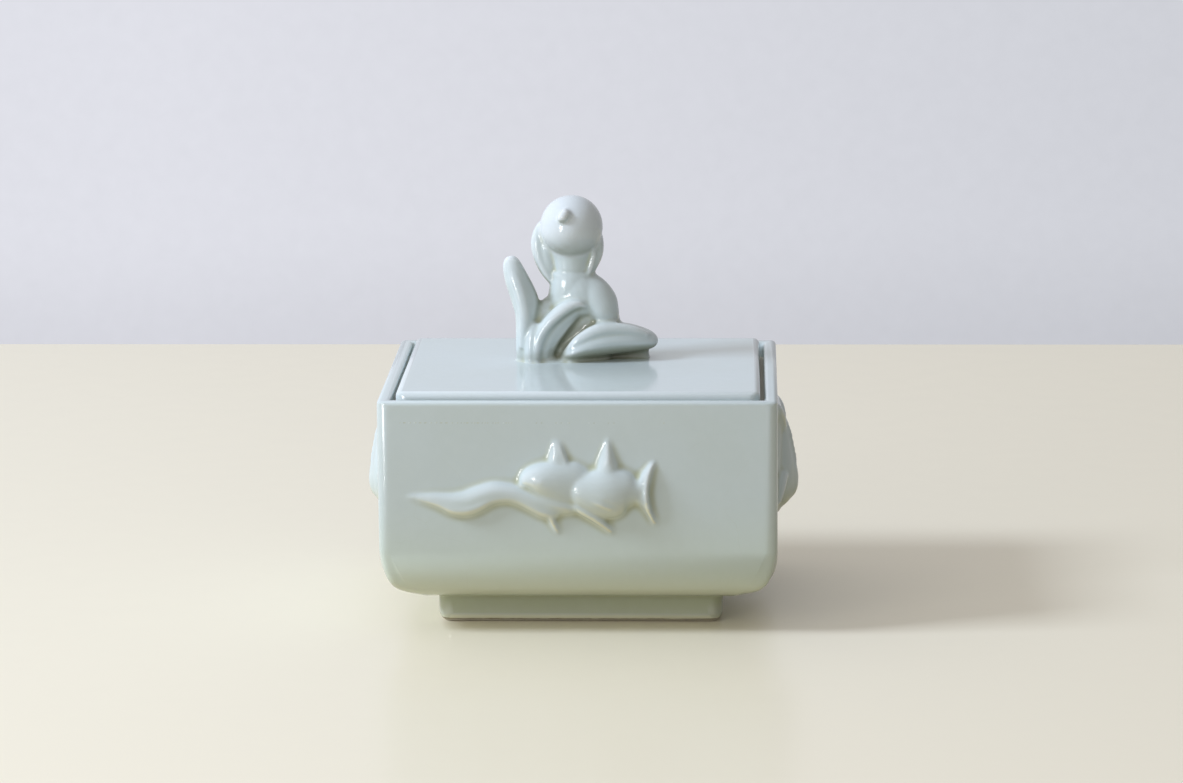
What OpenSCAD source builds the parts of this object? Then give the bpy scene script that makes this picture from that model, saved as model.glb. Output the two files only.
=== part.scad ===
// Lidded seal paste box in pale celadon porcelain, in millimetres.
// The table is z = 0, the box is centred on x = 0 and y = 0 and its front faces -y.

/* [Box] */
// Width of the box from left to right
body_w = 110; // [98:1:130]
// Depth of the box from front to back
body_d = 88; // [78:1:108]
// Height of the rim above the table
rim_h = 66.3; // [62:0.1:80]
// Thickness of the side walls
wall_t = 3.7; // [3:0.1:5]
// Thickness of the floor
floor_t = 4.5; // [3:0.1:6]
// Rounding of the four bottom edges
bottom_r = 12.5; // [9:0.5:14]
// Rounding of the four upright edges
edge_r = 3.3; // [2.4:0.1:5]
// Plan rounding of the corners where the sides reach the underside
underside_corner_r = 10; // [6:0.5:12]
// Rounding along both sides of the rim
rim_r = 1; // [0.6:0.1:1.4]
// Plan rounding of the corners inside the walls
inner_corner_r = 1.8; // [1.2:0.1:3]

/* [Foot] */
// Width of the foot where it meets the box
foot_w = 79.5; // [66:0.5:82]
// Depth of the foot where it meets the box
foot_d = 57.5; // [46:0.5:60]
// Height of the foot
foot_h = 8.8; // [6:0.1:11]
// Width of the ring of the foot that rests on the table
foot_land_w = 5; // [3.5:0.5:8]
// Rounding of the outer lower edge of the foot
foot_edge_r = 2; // [1:0.1:3]
// Plan rounding of the foot corners
foot_corner_r = 4; // [3.5:0.5:6]

/* [Lid] */
// Gap between the lid and the walls on each side
lid_gap = 1.15; // [0.8:0.05:1.6]
// Thickness of the lid
lid_t = 6; // [4.5:0.1:7]
// Height of the lid face above the rim
lid_rise = 1.7; // [0.5:0.1:2.5]
// Rounding of the upper edge of the lid
lid_edge_r = 1; // [0.6:0.1:1.6]
// Plan rounding of the lid corners
lid_corner_r = 1.8; // [1.7:0.1:3]
// How far the seat for the lid stands out from the walls
seat_w = 3.2; // [2.4:0.1:4.5]
// Height of the seat against the walls
seat_h = 5.5; // [4.5:0.1:8]

/* [Knob] */
// Width of the knob from the tip of the upright leaf to the tip of the low leaf
knob_w = 44.3; // [38:0.1:52]
// Height of the neck of the stem above the lid face
stem_h = 24; // [20:0.1:30]
// Diameter of the round bud
bud_d = 17.8; // [15:0.1:20]
// Distance of the knob behind the middle of the lid
knob_back = 8; // [4:0.5:12]
// Thickness of the pad under the leaves
pad_t = 1.8; // [1.2:0.1:2.4]

/* [Relief] */
// Height of the middle of the fish relief above the table
relief_h = 42; // [36:0.5:44]
// How far the rounder fish stands out from the wall
relief_out = 4.6; // [3:0.1:5.5]
// Height of the middle of the side lugs above the table
lug_h = 40; // [36:0.5:42]
// How far the side lugs stand out from the walls
lug_out = 6.3; // [5:0.1:8]

/* [Hidden] */

// Glaze colours of the box and lid, of the relief and of the knob, and the bare porcelain of the lid's seat
glaze_c = [0.74, 0.80, 0.77];
relief_c = [0.80, 0.85, 0.82];
knob_c = [0.77, 0.83, 0.80];
bare_c = [0.86, 0.83, 0.76];

// Points in each rounded corner, steps in each rounded edge, and points round each lobe
corner_steps = 8;
bend_steps = 8;
edge_steps = 4;
lobe_sides = 16;
relief_sides = 8;
// Steps between two stations of a lobe and of a relief
lobe_steps = 3;
relief_steps = 2;

underside_z = foot_h;
floor_z = underside_z + floor_t;
opening_w = body_w - 2*wall_t;
opening_d = body_d - 2*wall_t;
inner_bottom_r = bottom_r - wall_t;
lid_w = opening_w - 2*lid_gap;
lid_d = opening_d - 2*lid_gap;
lid_z = rim_h + lid_rise;
seat_z = lid_z - lid_t;
// Chamfer along the lower edge of the lid
lid_chamfer = 0.6;
// Slope of the seat's underside, as the part of its height that slopes
seat_slope = 0.6;
// Inner edges of the foot ring
foot_inner_r = 0.8;
// Width and neck height that the stations of the leaves reach, which knob_w and stem_h stretch
leaf_station_w = 44.3;
leaf_station_h = 24;
leaf_stretch = [knob_w/leaf_station_w, knob_w/leaf_station_w, stem_h/leaf_station_h];
// Diameter at which the stations of the bud were taken, and the neck that they stand on
bud_station_d = 17.8;
bud_scale = bud_d/bud_station_d;
neck_x = -3;
// Heights that the stations of the relief and of the lugs reach, which relief_out and lug_out stretch
relief_station_out = 4.6;
relief_scale = relief_out/relief_station_out;
lug_station_out = 6.3;
lug_scale = lug_out/lug_station_out;

// One rounded rectangle as a closed line of points at height z
function ring(w, d, r, z) = [
    for (q = [0:3])
        let (sx = (q == 0 || q == 3) ? 1 : -1, sy = (q < 2) ? 1 : -1)
        for (s = [0:corner_steps])
            let (a = 90*q + 90*s/corner_steps)
            [sx*(w/2 - r) + r*cos(a), sy*(d/2 - r) + r*sin(a), z]
];

// Triangles between ring i and ring k, for rings of n points each
function band(i, k, n) = [
    for (j = [0:n - 1])
        let (a = i*n + j, b = i*n + (j + 1) % n, c = k*n + (j + 1) % n, d = k*n + j)
        for (t = [[a, d, c], [a, c, b]]) t
];

function flat_list(lists) = [for (l = lists) for (v = l) v];

// Solid through a stack of rings, closed with a flat face at each end
module skin(rings) {
    n = len(rings[0]);
    last = len(rings) - 1;
    sides = flat_list([for (i = [0:last - 1]) band(i, i + 1, n)]);
    caps = [[for (j = [0:n - 1]) j], [for (j = [0:n - 1]) last*n + n - 1 - j]];
    polyhedron(points = flat_list(rings), faces = concat(sides, caps));
}

// Solid hoop whose last ring meets its first
module hoop(rings) {
    n = len(rings[0]);
    count = len(rings);
    faces = flat_list([for (i = [0:count - 1]) band(i, (i + 1) % count, n)]);
    polyhedron(points = flat_list(rings), faces = faces);
}

// Smooth run of stations through a short list of rows
function row_at(rows, i) = rows[max(0, min(len(rows) - 1, i))];
function between(rows, i, t) =
    let (a = row_at(rows, i - 1), b = row_at(rows, i), c = row_at(rows, i + 1), d = row_at(rows, i + 2))
    0.5*(2*b + (c - a)*t + (2*a - 5*b + 4*c - d)*t*t + (3*b - a - 3*c + d)*t*t*t);
function smooth(rows, steps) = concat(
    [for (i = [0:len(rows) - 2]) for (s = [0:steps - 1]) between(rows, i, s/steps)],
    [rows[len(rows) - 1]]
);

function unit(v) = v/norm(v);
function place(row) = [row[0], row[1], row[2]];
function heading(path, i) = unit(place(row_at(path, i + 1)) - place(row_at(path, i - 1)));

// Lobe through rows of [x, y, z, half width, half depth]
module lobe(rows) {
    path = smooth(rows, lobe_steps);
    skin([
        for (i = [0:len(path) - 1])
            let (t = heading(path, i), u = unit(cross([0, 1, 0], t)), v = cross(t, u))
            [for (j = [0:lobe_sides - 1])
                let (a = 360*j/lobe_sides)
                place(path[i]) + u*path[i][3]*cos(a) + v*path[i][4]*sin(a)]
    ]);
}

// Half-round run in low relief through rows of [across, up, half width, height], flat at the back
// The height is stretched by height_scale, and a fullness below 1 squares the section off.
module raised(rows, height_scale, fullness = 1) {
    path = smooth([for (r = rows) [r[0], r[1], 0, r[2], height_scale*r[3]]], relief_steps);
    skin([
        for (i = [0:len(path) - 1])
            let (t = heading(path, i), side = [-t[1], t[0], 0])
            [for (j = [0:relief_sides])
                let (a = 180*j/relief_sides, c = cos(a), s = sin(a))
                place(path[i]) + side*path[i][3]*sign(c)*pow(abs(c), fullness)
                    + [0, 0, path[i][4]*pow(s, fullness)]]
    ]);
}

// Puts a relief drawn flat onto the front wall
module on_front() {
    translate([0, -body_d/2, relief_h])
        rotate([90, 0, 0])
            children();
}

// Puts a lug drawn flat onto the right wall
module on_right() {
    translate([body_w/2, 0, lug_h])
        rotate([0, 0, 90])
            rotate([90, 0, 0])
                children();
}

// Puts a leaf or the stem onto the lid face
module on_lid() {
    translate([0, knob_back, lid_z])
        children();
}

// Puts the bud and what holds it onto the neck of the stem
module on_neck() {
    translate([neck_x*leaf_stretch[0], knob_back, lid_z + stem_h])
        scale(bud_scale)
            children();
}

// Rows of a leaf or of the stem at the size of this knob
function grown(rows) = [for (r = rows)
    [r[0]*leaf_stretch[0], r[1]*leaf_stretch[1], r[2]*leaf_stretch[2],
        r[3]*leaf_stretch[0], r[4]*leaf_stretch[1]]];

// Keeps what stands above the lid face
module above_lid() {
    reach = 60;
    intersection() {
        children();
        translate([-reach, -reach, 0]) cube([2*reach, 2*reach, reach]);
    }
}

// Stream of water that runs into the far fish
module stream() {
    raised([
        [-45.6, -2.1, 0.3, 0.4],
        [-43.0, -2.6, 0.9, 0.9],
        [-39.0, -3.6, 1.9, 1.5],
        [-34.0, -4.5, 2.9, 2.1],
        [-29.0, -4.1, 3.2, 2.4],
        [-24.0, -2.3, 2.7, 2.3],
        [-19.4, -1.1, 2.5, 2.2],
        [-14.8, -1.8, 2.9, 2.3],
        [-10.0, -4.0, 2.9, 2.3],
        [-6.0, -5.8, 2.7, 2.1],
        [-2.0, -6.2, 2.0, 1.6]
    ], relief_scale);
}

// Far fish, seen from its mouth to where the near fish covers it
module far_fish() {
    raised([
        [-15.6, 1.4, 0.8, 0.8],
        [-13.6, 1.7, 2.6, 1.9],
        [-10.4, 1.9, 4.8, 3.0],
        [-6.8, 1.4, 6.5, 3.5],
        [-2.8, 0.6, 7.2, 3.3],
        [1.4, 0.0, 6.4, 2.7],
        [4.6, 0.0, 4.6, 2.0]
    ], relief_scale);
    // Back fin
    raised([
        [-4.3, 5.0, 2.9, 2.6],
        [-4.6, 8.0, 2.1, 2.1],
        [-5.2, 11.2, 1.3, 1.6],
        [-5.8, 13.6, 0.5, 0.9]
    ], relief_scale);
    // Belly fin
    raised([
        [-9.8, -3.6, 1.9, 2.2],
        [-8.6, -7.2, 1.5, 1.9],
        [-7.0, -9.6, 1.0, 1.4],
        [-5.1, -12.0, 0.4, 0.7]
    ], relief_scale);
}

// Near fish with its back fin, belly fin and crescent tail
module near_fish() {
    raised([
        [-3.2, 0.4, 1.2, 1.0],
        [-1.6, 0.2, 4.4, 2.6],
        [1.8, -0.4, 7.2, 3.9],
        [6.2, -0.8, 8.7, 4.6],
        [10.4, -0.8, 8.3, 4.5],
        [13.8, -0.8, 6.2, 3.5],
        [16.4, -0.9, 3.8, 2.3],
        [18.6, -1.0, 2.9, 1.9]
    ], relief_scale);
    // Back fin
    raised([
        [9.2, 6.0, 2.4, 2.6],
        [9.0, 9.4, 1.9, 2.3],
        [8.7, 12.2, 1.4, 1.8],
        [8.6, 14.5, 0.5, 0.9]
    ], relief_scale);
    // Belly fin
    raised([
        [4.4, -6.6, 2.0, 2.6],
        [6.6, -9.4, 1.3, 1.9],
        [9.4, -12.3, 0.5, 0.9]
    ], relief_scale);
    // Upper half of the tail
    raised([
        [17.4, -0.6, 2.7, 1.9],
        [19.0, 2.2, 1.7, 2.0],
        [20.4, 5.2, 1.1, 1.7],
        [21.4, 8.0, 0.4, 0.9]
    ], relief_scale);
    // Lower half of the tail
    raised([
        [17.4, -1.4, 2.7, 1.9],
        [18.9, -4.4, 1.6, 2.0],
        [20.2, -7.4, 1.1, 1.7],
        [21.6, -10.2, 0.4, 0.9]
    ], relief_scale);
}

// Fish lug, head down, with its tail spread at the top
module lug() {
    // Flat-sided body
    raised([
        [0, -13.8, 3.0, 0.9],
        [0, -12.6, 5.6, 2.3],
        [0, -10.6, 7.8, 3.4],
        [0, -6.0, 9.2, 3.9],
        [0, 0.0, 8.2, 3.9],
        [0, 6.0, 6.2, 3.9],
        [0, 11.0, 4.6, 3.3]
    ], lug_scale, 0.7);
    // Gill cover and belly
    raised([
        [0, -11.4, 1.6, 3.2],
        [0, -10.4, 3.6, 4.5],
        [0, -8.8, 5.4, 5.7],
        [0, -5.6, 6.6, 6.3],
        [0, -2.0, 6.2, 5.9],
        [0, 2.4, 4.8, 4.8],
        [0, 7.2, 2.4, 3.8]
    ], lug_scale);
    // Tail
    raised([
        [0, 10.2, 4.4, 3.1],
        [0, 12.6, 5.8, 2.8],
        [0, 15.2, 7.4, 1.6],
        [0, 16.8, 7.8, 0.7],
        [0, 17.4, 7.0, 0.3]
    ], lug_scale, 0.8);
    // Pair of side fins
    for (m = [0, 1])
        mirror([m, 0, 0])
            raised([
                [6.4, -4.0, 2.2, 2.8],
                [9.2, -5.6, 1.9, 2.2],
                [11.6, -7.8, 1.3, 1.5],
                [13.0, -10.2, 0.5, 0.8]
            ], lug_scale);
}

// Box with its rounded bottom edges and rim, open at the top
module box_shell() {
    outer = [for (i = [0:bend_steps])
        let (a = 90*i/bend_steps, inset = bottom_r*(1 - sin(a)), part = sqrt(inset/bottom_r))
        ring(body_w - 2*inset, body_d - 2*inset,
            edge_r + (underside_corner_r - edge_r)*part, underside_z + bottom_r*(1 - cos(a)))];
    rim_out = [for (i = [0:edge_steps])
        let (a = 90*i/edge_steps, inset = rim_r*(1 - cos(a)))
        ring(body_w - 2*inset, body_d - 2*inset, edge_r - inset, rim_h - rim_r*(1 - sin(a)))];
    rim_in = [for (i = [0:edge_steps])
        let (a = 90*i/edge_steps, inset = wall_t - rim_r*(1 - sin(a)))
        ring(body_w - 2*inset, body_d - 2*inset,
            inner_corner_r + wall_t - inset, rim_h - rim_r*(1 - cos(a)))];
    inner = [for (i = [0:bend_steps])
        let (a = 90*i/bend_steps, inset = inner_bottom_r*(1 - cos(a)), part = sqrt(inset/inner_bottom_r))
        ring(opening_w - 2*inset, opening_d - 2*inset,
            inner_corner_r + (inner_bottom_r - inner_corner_r)*part,
            floor_z + inner_bottom_r*(1 - sin(a)))];
    color(glaze_c) skin(concat(outer, rim_out, rim_in, inner));
}

// Foot under the box, open underneath
module foot_ring() {
    outer = [for (i = [0:edge_steps])
        let (a = 90*i/edge_steps, inset = foot_edge_r*(1 - sin(a)))
        ring(foot_w - 2*inset, foot_d - 2*inset, foot_corner_r - inset, foot_edge_r*(1 - cos(a)))];
    top = [ring(foot_w, foot_d, foot_corner_r, foot_h)];
    in_w = foot_w - 2*foot_edge_r - 2*foot_land_w;
    in_d = foot_d - 2*foot_edge_r - 2*foot_land_w;
    inner = [
        ring(in_w, in_d, foot_corner_r, foot_h),
        ring(in_w, in_d, foot_corner_r, foot_inner_r),
        ring(in_w + 2*foot_inner_r, in_d + 2*foot_inner_r, foot_corner_r + foot_inner_r, 0)
    ];
    color(glaze_c) hoop(concat(outer, top, inner));
}

// Seat inside the walls that carries the lid
module lid_seat() {
    in_w = opening_w - 2*seat_w;
    in_d = opening_d - 2*seat_w;
    color(bare_c) hoop([
        ring(opening_w, opening_d, inner_corner_r, seat_z - seat_h),
        ring(opening_w, opening_d, inner_corner_r, seat_z),
        ring(in_w, in_d, inner_corner_r, seat_z),
        ring(in_w, in_d, inner_corner_r, seat_z - seat_h*(1 - seat_slope))
    ]);
}

module front_stream() {
    color(relief_c) on_front() stream();
}

module front_far_fish() {
    color(relief_c) on_front() far_fish();
}

module front_near_fish() {
    color(relief_c) on_front() near_fish();
}

module back_stream() {
    color(relief_c) rotate([0, 0, 180]) on_front() stream();
}

module back_far_fish() {
    color(relief_c) rotate([0, 0, 180]) on_front() far_fish();
}

module back_near_fish() {
    color(relief_c) rotate([0, 0, 180]) on_front() near_fish();
}

module right_lug() {
    color(relief_c) on_right() lug();
}

module left_lug() {
    color(relief_c) mirror([1, 0, 0]) on_right() lug();
}

// Flat lid that drops inside the rim
module lid_plate() {
    lower = [
        ring(lid_w - 2*lid_chamfer, lid_d - 2*lid_chamfer, lid_corner_r - lid_chamfer, seat_z),
        ring(lid_w, lid_d, lid_corner_r, seat_z + lid_chamfer)
    ];
    upper = [for (i = [0:edge_steps])
        let (a = 90*i/edge_steps, inset = lid_edge_r*(1 - cos(a)))
        ring(lid_w - 2*inset, lid_d - 2*inset, lid_corner_r - inset, lid_z - lid_edge_r*(1 - sin(a)))];
    color(glaze_c) skin(concat(lower, upper));
}

// Pad of clay that joins the leaves to the lid
module knob_pad() {
    half_w = 0.42*knob_w;
    half_d = 0.145*knob_w;
    sides = 40;
    squareness = 0.8;
    shoulder = 0.4*pad_t;
    function pad_ring(inset, z) = [
        for (j = [0:sides - 1])
            let (a = 360*j/sides)
            [(half_w - inset)*sign(cos(a))*pow(abs(cos(a)), squareness),
                (half_d - inset)*sign(sin(a))*pow(abs(sin(a)), squareness), z]
    ];
    color(knob_c) on_lid() skin([
        pad_ring(0, 0),
        pad_ring(0.1*pad_t, pad_t - shoulder),
        pad_ring(0.25*pad_t, pad_t - 0.3*shoulder),
        pad_ring(0.6*pad_t, pad_t)
    ]);
}

// Stem with the swelling on its right side
module stem() {
    color(knob_c) on_lid() above_lid() {
        lobe(grown([
            [-3.4, 0.8, -0.6, 6.4, 5.2],
            [-3.9, 0.8, 6.0, 6.5, 5.2],
            [-4.0, 0.5, 12.0, 6.4, 5.1],
            [-3.9, 0.2, 17.5, 6.6, 5.1],
            [-3.4, 0.0, 22.3, 6.0, 4.9],
            [-3.0, 0.2, 25.2, 5.5, 4.5],
            [-3.0, 0.4, 27.0, 3.4, 3.0]
        ]));
        lobe(grown([
            [6.6, 0.0, 10.4, 1.2, 2.0],
            [6.4, -0.2, 12.2, 3.3, 4.4],
            [5.2, -0.4, 14.8, 4.0, 5.2],
            [3.4, -0.4, 17.8, 3.9, 5.0],
            [1.0, -0.2, 20.8, 3.0, 4.2],
            [-0.8, 0.0, 22.6, 1.0, 1.6]
        ]));
    }
}

// Cup under the bud, tipped to the front
module calyx() {
    color(knob_c) on_neck() lobe([
        [0.0, 0.5, -0.2, 5.3, 4.4],
        [0.0, 0.5, 2.5, 5.9, 4.9],
        [-0.1, 0.3, 5.2, 6.8, 5.6],
        [-0.1, -0.2, 7.4, 7.4, 6.0],
        [-0.1, -0.8, 9.2, 7.7, 6.2]
    ]);
}

module bud() {
    color(knob_c) on_neck() translate([-0.15, 0, 14.2]) sphere(d = bud_station_d, $fn = 64);
}

// Short tip on the face of the bud
module bud_tip() {
    tip_r = 1.35;
    tip_l = 2;
    color(knob_c) on_neck() translate([-2.3, -8.3, 17.7]) rotate([0, 37, 0]) {
        sphere(r = tip_r, $fn = 32);
        cylinder(r = tip_r, h = tip_l, $fn = 32);
        translate([0, 0, tip_l]) sphere(r = tip_r, $fn = 32);
    }
}

module left_sepal() {
    color(knob_c) on_neck() lobe([
        [-6.7, 0.8, -3.2, 0.3, 0.6],
        [-7.0, 0.8, -1.8, 0.9, 1.7],
        [-8.3, 0.9, 1.4, 1.6, 3.0],
        [-9.3, 1.0, 5.2, 2.0, 3.9],
        [-9.6, 1.2, 9.4, 2.2, 4.2],
        [-8.7, 1.4, 13.4, 1.9, 3.4],
        [-7.0, 1.6, 16.4, 0.9, 1.8]
    ]);
}

module right_sepal() {
    color(knob_c) on_neck() lobe([
        [5.2, 0.8, -2.2, 0.3, 0.6],
        [5.9, 0.9, 0.4, 1.0, 2.0],
        [6.8, 1.0, 4.0, 1.5, 3.2],
        [7.2, 1.2, 8.0, 1.7, 3.8],
        [6.6, 1.4, 12.0, 1.4, 3.0],
        [5.2, 1.6, 15.0, 0.8, 1.6]
    ]);
}

module upright_leaf() {
    color(knob_c) on_lid() above_lid() lobe(grown([
        [-16.6, -2.4, -0.6, 2.5, 3.2],
        [-16.3, -2.6, 6.5, 2.8, 3.4],
        [-15.8, -2.6, 12.5, 3.3, 3.9],
        [-15.9, -2.4, 17.5, 3.9, 4.3],
        [-17.6, -2.1, 22.5, 3.7, 4.0],
        [-19.7, -1.8, 27.0, 2.9, 3.1],
        [-20.7, -1.6, 29.2, 1.8, 2.0],
        [-21.1, -1.5, 30.0, 0.5, 0.6]
    ]));
}

// Leaf folded along its length, with its rim in front and its inner face behind
module folded_leaf() {
    color(knob_c) on_lid() above_lid() {
        lobe(grown([
            [-12.9, -4.0, -0.6, 1.8, 2.6],
            [-12.7, -4.4, 7.4, 1.8, 2.5],
            [-11.0, -4.6, 13.2, 1.8, 2.4],
            [-7.4, -4.6, 17.0, 1.8, 2.3],
            [-3.2, -4.4, 18.4, 1.6, 2.1],
            [-0.2, -4.0, 17.7, 1.1, 1.7],
            [1.3, -3.6, 16.6, 0.4, 0.7]
        ]));
        lobe(grown([
            [-10.4, -2.4, -0.6, 1.8, 3.2],
            [-9.8, -2.6, 6.4, 1.8, 3.2],
            [-7.8, -2.8, 11.6, 1.7, 3.1],
            [-4.4, -2.8, 15.2, 1.6, 2.9],
            [-0.6, -2.6, 16.8, 1.2, 2.4],
            [1.2, -2.4, 16.8, 0.4, 0.9]
        ]));
    }
}

module low_leaf() {
    color(knob_c) on_lid() above_lid() lobe(grown([
        [-8.2, -1.6, 1.8, 1.0, 1.8],
        [-6.6, -1.4, 2.4, 2.0, 3.2],
        [-2.6, -1.0, 3.8, 3.3, 4.8],
        [3.0, -0.6, 5.0, 4.3, 6.0],
        [9.5, 0.0, 5.8, 4.3, 6.4],
        [15.0, 0.4, 5.6, 3.4, 5.6],
        [18.8, 0.6, 5.2, 2.2, 4.0],
        [20.6, 0.7, 5.0, 1.0, 2.0],
        [21.2, 0.7, 5.0, 0.3, 0.6]
    ]));
}

box_shell();
foot_ring();
lid_seat();
front_stream();
front_far_fish();
front_near_fish();
back_stream();
back_far_fish();
back_near_fish();
left_lug();
right_lug();
lid_plate();
knob_pad();
stem();
calyx();
bud();
bud_tip();
left_sepal();
right_sepal();
upright_leaf();
folded_leaf();
low_leaf();
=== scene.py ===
import math

import bmesh
import bpy
import numpy as np
from mathutils import Matrix, Vector
from mathutils.bvhtree import BVHTree


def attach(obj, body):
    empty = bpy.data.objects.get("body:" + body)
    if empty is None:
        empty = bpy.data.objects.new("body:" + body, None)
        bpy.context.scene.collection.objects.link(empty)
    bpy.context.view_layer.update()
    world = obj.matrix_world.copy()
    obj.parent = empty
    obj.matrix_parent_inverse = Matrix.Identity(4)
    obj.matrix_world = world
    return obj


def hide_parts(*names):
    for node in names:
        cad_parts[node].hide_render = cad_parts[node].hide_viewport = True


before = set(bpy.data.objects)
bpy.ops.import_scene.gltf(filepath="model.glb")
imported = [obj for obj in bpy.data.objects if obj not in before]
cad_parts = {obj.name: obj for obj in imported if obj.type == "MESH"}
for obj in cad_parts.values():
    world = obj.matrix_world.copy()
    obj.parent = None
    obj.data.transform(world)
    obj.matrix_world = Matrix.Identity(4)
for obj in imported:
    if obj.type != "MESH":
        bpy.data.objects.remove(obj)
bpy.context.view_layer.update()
mm = 0.001
print("frame loaded:", len(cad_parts), "nodes")


# selection and modifiers

def clearSelection():
    if bpy.context.mode != "OBJECT":
        bpy.ops.object.mode_set(mode="OBJECT")
    bpy.ops.object.select_all(action="DESELECT")


def useOnly(obj):
    clearSelection()
    obj.select_set(True)
    bpy.context.view_layer.objects.active = obj


def startEdit(obj, mode="FACE", action="DESELECT"):
    useOnly(obj)
    bpy.ops.object.mode_set(mode="EDIT")
    bpy.ops.mesh.select_mode(type=mode)
    bpy.ops.mesh.select_all(action=action)


def endEdit():
    bpy.ops.object.mode_set(mode="OBJECT")


def pickFaces(obj, test):  # adds faces to the selection, tested on middle in mm, normal and area in mm2
    mesh = bmesh.from_edit_mesh(obj.data)
    for face in mesh.faces:
        if test(face.calc_center_median() / mm, face.normal, face.calc_area() / mm ** 2):
            face.select_set(True)
    bmesh.update_edit_mesh(obj.data)


def pickEdges(obj, test):  # adds edges to the selection, tested on both ends in mm
    mesh = bmesh.from_edit_mesh(obj.data)
    for edge in mesh.edges:
        if test(edge.verts[0].co / mm, edge.verts[1].co / mm):
            edge.select_set(True)
    bmesh.update_edit_mesh(obj.data)


def applyModifier(obj, kind, **settings):
    useOnly(obj)
    modifier = obj.modifiers.new(kind.title(), kind)
    for key, value in settings.items():
        setattr(modifier, key, value)
    bpy.ops.object.modifier_apply(modifier=modifier.name)


def joinAll(objs, name):
    clearSelection()
    for obj in objs:
        obj.select_set(True)
    bpy.context.view_layer.objects.active = objs[0]
    bpy.ops.object.join()
    objs[0].name = name
    objs[0].data.name = name
    return objs[0]


def copyTurned(obj, name, turn):  # a copy with its own mesh, turned or mirrored about the middle
    twin = obj.copy()
    twin.data = obj.data.copy()
    twin.name = name
    bpy.context.collection.objects.link(twin)
    twin.data.transform(turn)
    if turn.determinant() < 0:
        startEdit(twin, action="SELECT")
        bpy.ops.mesh.flip_normals()
        endEdit()
    return twin


def addBlock(name, size, middle):
    clearSelection()
    bpy.ops.mesh.primitive_cube_add(size=1)
    obj = bpy.context.object
    obj.name = name
    startEdit(obj, action="SELECT")
    bpy.ops.transform.resize(value=[s * mm for s in size])
    bpy.ops.transform.translate(value=[m * mm for m in middle])
    endEdit()
    return obj


def upright(p, q):
    return abs(p.z - q.z) > 1


def weighEdges(obj, share, test):  # marks edges for one bevel, by their share of its width
    startEdit(obj, mode="EDGE")
    pickEdges(obj, test)
    bpy.ops.transform.edge_bevelweight(value=share)
    endEdit()


def bevelWeighed(obj, widest, segments, profile=0.5):
    applyModifier(obj, "BEVEL", width=widest * mm, limit_method="WEIGHT", segments=segments,
                  profile=profile, use_clamp_overlap=False)


def smoothBetween(rows, i, t):  # a smooth run through the rows of a table
    a, b, c, d = (np.array(rows[max(0, min(len(rows) - 1, k))], float) for k in range(i - 1, i + 3))
    return 0.5 * (2 * b + (c - a) * t + (2 * a - 5 * b + 4 * c - d) * t ** 2
                  + (3 * b - a - 3 * c + d) * t ** 3)


def turnRing(lean, centre):  # turns the selected ring about the y axis
    if abs(lean) > 1e-6:
        bpy.ops.transform.rotate(value=lean, orient_axis="Y", center_override=centre)


def growForm(name, rows, sides=24, steps=3):  # rows: x, y, z, half width, half depth, all in mm
    run = [smoothBetween(rows, i, s / steps) for i in range(len(rows) - 1) for s in range(steps)]
    run.append(np.array(rows[-1], float))
    spots = [row[:3] * mm for row in run]
    widths = [np.maximum(row[3:], 0.15) * mm for row in run]
    leans = []
    for i in range(len(run)):
        step = run[min(i + 1, len(run) - 1)] - run[max(i - 1, 0)]
        leans.append(math.atan2(step[0], step[2]))
    clearSelection()
    bpy.ops.mesh.primitive_circle_add(vertices=sides, radius=1, fill_type="NGON")
    obj = bpy.context.object
    obj.name = name
    startEdit(obj, action="SELECT")
    bpy.ops.transform.resize(value=(widths[0][0], widths[0][1], 1))
    bpy.ops.transform.translate(value=spots[0])
    turnRing(-leans[0], spots[0])
    for i in range(1, len(run)):
        bpy.ops.mesh.extrude_region_move(TRANSFORM_OT_translate={"value": spots[i] - spots[i - 1]})
        turnRing(leans[i - 1], spots[i])
        grow = widths[i] / widths[i - 1]
        bpy.ops.transform.resize(value=(grow[0], grow[1], 1), center_override=spots[i])
        turnRing(-leans[i], spots[i])
    bpy.ops.mesh.select_all(action="SELECT")
    bpy.ops.mesh.normals_make_consistent(inside=False)
    endEdit()
    return obj


def addBall(name, middle, radius):
    clearSelection()
    bpy.ops.mesh.primitive_uv_sphere_add(segments=48, ring_count=32, radius=radius * mm)
    obj = bpy.context.object
    obj.name = name
    startEdit(obj, action="SELECT")
    bpy.ops.transform.translate(value=[m * mm for m in middle])
    endEdit()
    return obj


def meltForms(forms, name, voxel, fillet, softness):  # joined like wet clay, then covered by thick glaze
    obj = joinAll(forms, name)
    for passes, push in ((2, fillet), (2, -fillet), (softness, 0)):
        applyModifier(obj, "REMESH", mode="VOXEL", voxel_size=voxel * mm)
        applyModifier(obj, "SMOOTH", factor=0.5, iterations=passes)
        if push:
            applyModifier(obj, "DISPLACE", strength=push * mm, mid_level=0)
    return obj


def cutAway(obj, spot, normal, fill=False):  # removes what lies on the normal's side of a plane
    startEdit(obj, action="SELECT")
    bpy.ops.mesh.bisect(plane_co=[s * mm for s in spot], plane_no=normal, use_fill=fill,
                        clear_outer=True, clear_inner=False)
    endEdit()


def insetFlats(obj, smallest, border):  # a narrow border keeps the shading of the flat faces flat
    startEdit(obj)
    pickFaces(obj, lambda middle, normal, area: area > smallest)
    bpy.ops.mesh.inset(thickness=border * mm, use_individual=True, use_even_offset=True)
    endEdit()


def shadeSmooth(obj, angle=50):
    useOnly(obj)
    bpy.ops.object.shade_smooth_by_angle(angle=math.radians(angle))


# camera

cameraPlace = {
    "spot": (45.82, -1167.2, 307.4),
    "turn": -2.126,
    "down": 11.957,
    "roll": -0.396,
    "lens": 128.1,
}


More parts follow.
